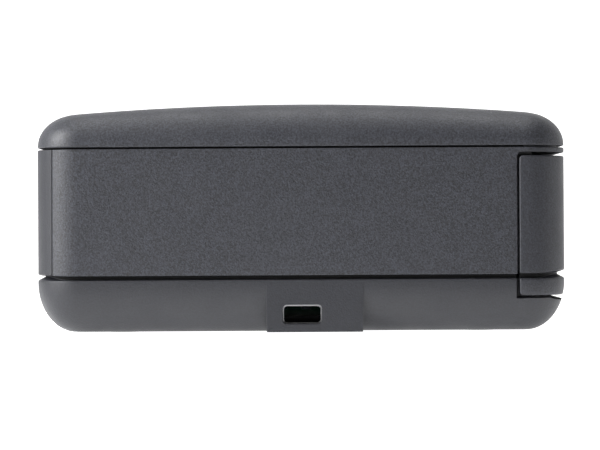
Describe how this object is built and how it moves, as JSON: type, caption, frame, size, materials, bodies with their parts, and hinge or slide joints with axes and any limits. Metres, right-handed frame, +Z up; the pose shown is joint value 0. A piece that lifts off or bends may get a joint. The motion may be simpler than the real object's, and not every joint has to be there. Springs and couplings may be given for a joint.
{
  "type": "logic analyzer",
  "caption": "Compact bench logic analyzer: crowned three-layer plastic case with a drop-down front door over probe headers, and a lock slot in its side",
  "frame": {"origin": "On the table, at the middle of the box that holds the case, between the feet's lower faces", "axes": "+X points out of the front door, -X out of the rear panel, +Z up; the lock slot is on the -Y side"},
  "size_m": [0.098, 0.13, 0.0427],
  "materials": {
    "base_shell": "fine grained dark grey",
    "mid_frame": "coarse grained dark grey",
    "top_cover": "coarse grained dark grey",
    "rear_panel": "fine grained dark grey",
    "front_panel": "fine grained near black",
    "front_door": "fine grained dark grey",
    "hinge_pins": "bright drawn steel",
    "lock_plate": "zinc plated sheet steel",
    "rubber_feet": "matt black",
    "threaded_pillars": "turned",
    "case_screws": "black zinc",
    "main_board": "green solder mask over glass fibre",
    "board_screws": "bright zinc",
    "probe_headers": "moulded black",
    "probe_header_pins": "gold plated",
    "trigger_jacks": "gold plated, turned",
    "jack_insulators": "white fluoroplastic",
    "jack_contacts": "gold plated",
    "usb_socket": "tin plated steel",
    "usb_socket_tongue": "white",
    "dc_jack": "moulded black",
    "dc_jack_pin": "nickel plated",
    "power_switch": "moulded black",
    "power_slider": "moulded black",
    "run_button": "light grey",
    "run_button_switch": "moulded black",
    "status_leds": "clear resin",
    "light_pipes": "clear acrylic",
    "logic_array_chip": "moulded epoxy",
    "thermal_pad": "soft silicone",
    "heat_sink": "black anodised",
    "memory_chips": "moulded epoxy",
    "usb_controller": "moulded epoxy",
    "input_buffers": "moulded epoxy",
    "power_inductors": "ferrite",
    "electrolytic_capacitors": "drawn can",
    "crystal": "nickel lid",
    "voltage_regulator": "moulded epoxy",
    "input_fuse": "ceramic",
    "ceramic_capacitors": "ceramic"
  },
  "bodies": {
    "case": {"base_shell": "base_shell", "mid_frame": "mid_frame", "top_cover": "top_cover", "rear_panel": "rear_panel", "front_panel": "front_panel", "lock_plate": "lock_plate", "rubber_feet": "rubber_feet", "threaded_pillars": "threaded_pillars", "case_screws": "case_screws", "main_board": "main_board", "board_screws": "board_screws", "probe_headers": "probe_headers", "probe_header_pins": "probe_header_pins", "trigger_jacks": "trigger_jacks", "jack_insulators": "jack_insulators", "jack_contacts": "jack_contacts", "usb_socket": "usb_socket", "usb_socket_tongue": "usb_socket_tongue", "dc_jack": "dc_jack", "dc_jack_pin": "dc_jack_pin", "power_switch": "power_switch", "run_button_switch": "run_button_switch", "status_leds": "status_leds", "light_pipes": "light_pipes", "logic_array_chip": "logic_array_chip", "thermal_pad": "thermal_pad", "heat_sink": "heat_sink", "memory_chips": "memory_chips", "usb_controller": "usb_controller", "input_buffers": "input_buffers", "power_inductors": "power_inductors", "electrolytic_capacitors": "electrolytic_capacitors", "crystal": "crystal", "voltage_regulator": "voltage_regulator", "input_fuse": "input_fuse", "ceramic_capacitors": "ceramic_capacitors"},
    "door": {"front_door": "front_door", "hinge_pins": "hinge_pins"},
    "button": {"run_button": "run_button"},
    "slider": {"power_slider": "power_slider"}
  },
  "joints": [
    {"name": "door_hinge", "type": "hinge", "parent": "case", "child": "door", "pos_m": [0.0462, 0, 0.0088], "axis": [0, 1, 0], "range_deg": [0, 90]},
    {"name": "button_press", "type": "slide", "parent": "case", "child": "button", "axis": [-1, 0, 0], "range_m": [0, 0.0008], "stiffness_N_per_m": 400, "springref_m": -0.0005},
    {"name": "power_slide", "type": "slide", "parent": "case", "child": "slider", "axis": [0, 1, 0], "range_m": [0, 0.0038]}
  ]
}
